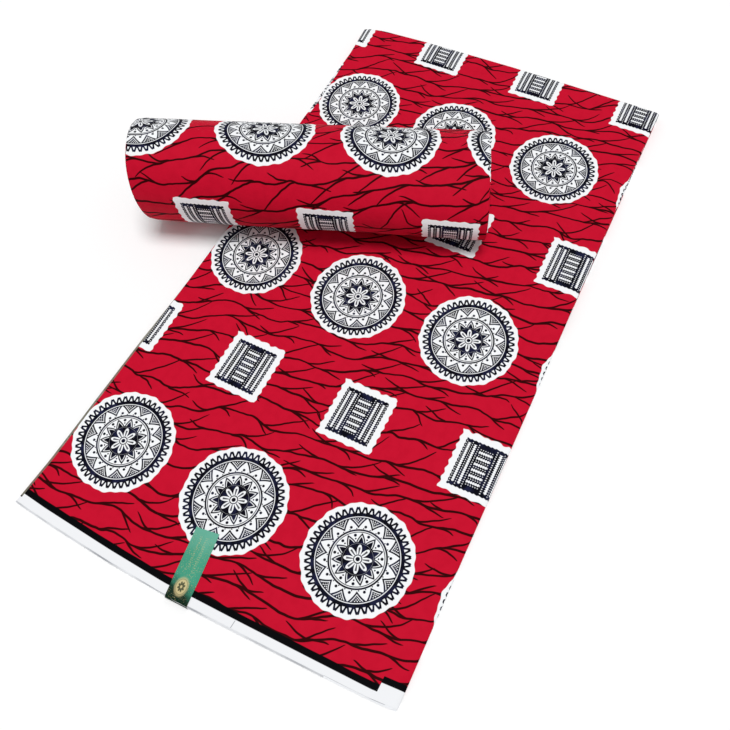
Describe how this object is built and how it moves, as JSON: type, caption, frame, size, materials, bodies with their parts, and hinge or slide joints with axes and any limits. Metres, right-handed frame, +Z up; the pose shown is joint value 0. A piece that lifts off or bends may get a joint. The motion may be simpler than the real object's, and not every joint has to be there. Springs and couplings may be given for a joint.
{
  "type": "folded and rolled wax print fabric",
  "caption": "Long folded strip of printed cotton lying flat, with a rolled-up length of the same cloth across it and a paper label over its near selvage.",
  "frame": {"origin": "on the surface it lies on, under the middle of the folded strip", "axes": "+X along the near selvage to the right, +Y along the strip away from that selvage, +Z up"},
  "size_m": [0.5747, 0.8525, 0.135],
  "materials": {
    "printed_cotton": "smooth printed plain-weave cotton with a slight starch sheen",
    "foil_paper": "green foil paper, satin"
  },
  "bodies": {
    "root": {"strip_top_lap": "printed_cotton", "strip_hidden_laps": "printed_cotton", "roll_outer_lap": "printed_cotton", "roll_hidden_wraps": "printed_cotton", "label_band": "foil_paper"}
  },
  "joints": []
}
